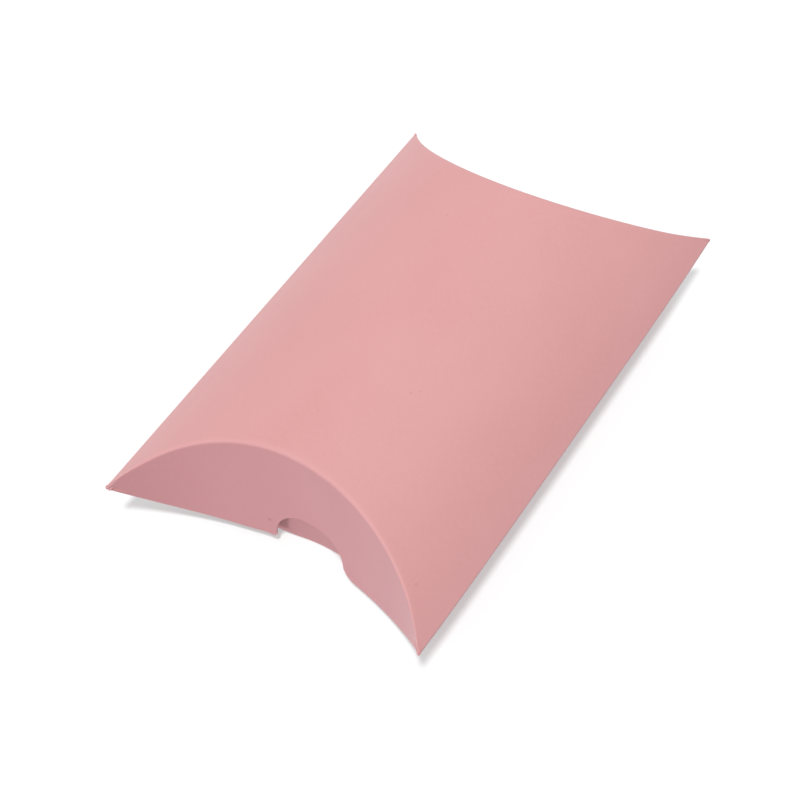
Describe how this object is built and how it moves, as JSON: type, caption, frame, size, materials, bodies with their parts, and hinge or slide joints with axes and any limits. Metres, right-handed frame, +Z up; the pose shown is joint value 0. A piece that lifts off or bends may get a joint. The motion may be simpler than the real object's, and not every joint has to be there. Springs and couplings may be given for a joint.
{
  "type": "pillow box",
  "caption": "Small pillow box of pink folded card: arched top and bottom panels, side folds, and curved end flaps that hinge on their creases, with thumb notches.",
  "frame": {"origin": "under the middle of the bottom panel's arch, at its lowest line", "axes": "+X across the width, +Y along the length to the back end, +Z up"},
  "size_m": [0.0696, 0.105, 0.028],
  "materials": {
    "card": "matte, uncoated, dyed through",
    "glue": "dried, dull"
  },
  "bodies": {
    "sleeve": {"top_panel": "card", "bottom_panel": "card", "side_fold": "card", "seam_fold": "card", "glue_tab": "card", "glue_film": "glue"},
    "front_outer": {"front_outer_flap": "card"},
    "front_inner": {"front_inner_flap": "card"},
    "back_outer": {"back_outer_flap": "card"},
    "back_inner": {"back_inner_flap": "card"}
  },
  "joints": [
    {"name": "front_outer_crease", "type": "hinge", "parent": "sleeve", "child": "front_outer", "pos_m": [0, -0.0365, 0.028], "axis": [-1, 0, 0], "range_deg": [0, 82]},
    {"name": "front_inner_crease", "type": "hinge", "parent": "sleeve", "child": "front_inner", "pos_m": [0, -0.0365, 0], "axis": [1, 0, 0], "range_deg": [0, 90]},
    {"name": "back_outer_crease", "type": "hinge", "parent": "sleeve", "child": "back_outer", "pos_m": [0, 0.0365, 0.028], "axis": [1, 0, 0], "range_deg": [0, 82]},
    {"name": "back_inner_crease", "type": "hinge", "parent": "sleeve", "child": "back_inner", "pos_m": [0, 0.0365, 0], "axis": [-1, 0, 0], "range_deg": [0, 90]}
  ],
  "couplings": [
    {"joint": "front_inner_crease", "follows": "front_outer_crease", "ratio": 1.0976},
    {"joint": "back_inner_crease", "follows": "back_outer_crease", "ratio": 1.0976}
  ]
}
